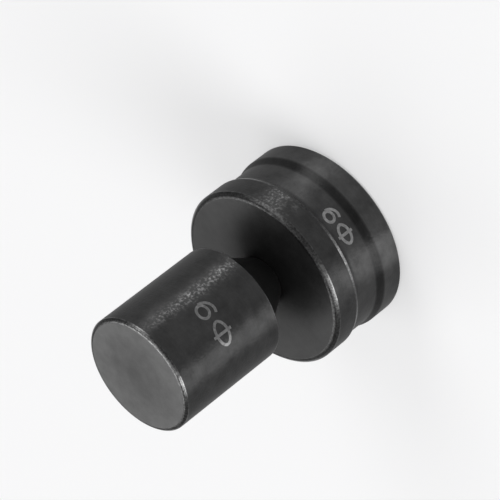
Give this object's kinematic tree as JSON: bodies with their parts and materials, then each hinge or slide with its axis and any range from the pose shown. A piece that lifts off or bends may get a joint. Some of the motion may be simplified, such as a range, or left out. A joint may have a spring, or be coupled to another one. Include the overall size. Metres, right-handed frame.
{
  "type": "knockout punch and die set",
  "caption": "Round hole punch nested in its die: a plain shank narrows through a cone to a cutting tip that enters a grooved die ring, to shear holes in plate.",
  "frame": {"origin": "centre of the die's base, where the set stands", "axes": "+Z along the shared axis of punch and die, from the die's base to the end of the punch's shank"},
  "size_m": [0.037, 0.037, 0.052],
  "materials": {
    "black_oxide_steel": "turned tool steel with a black oxide skin"
  },
  "bodies": {
    "die": {"die": "black_oxide_steel"},
    "punch": {"punch": "black_oxide_steel"}
  },
  "joints": [
    {"name": "punch_stroke", "type": "slide", "parent": "die", "child": "punch", "axis": [0, 0, 1], "range_m": [0, 0.024]}
  ]
}
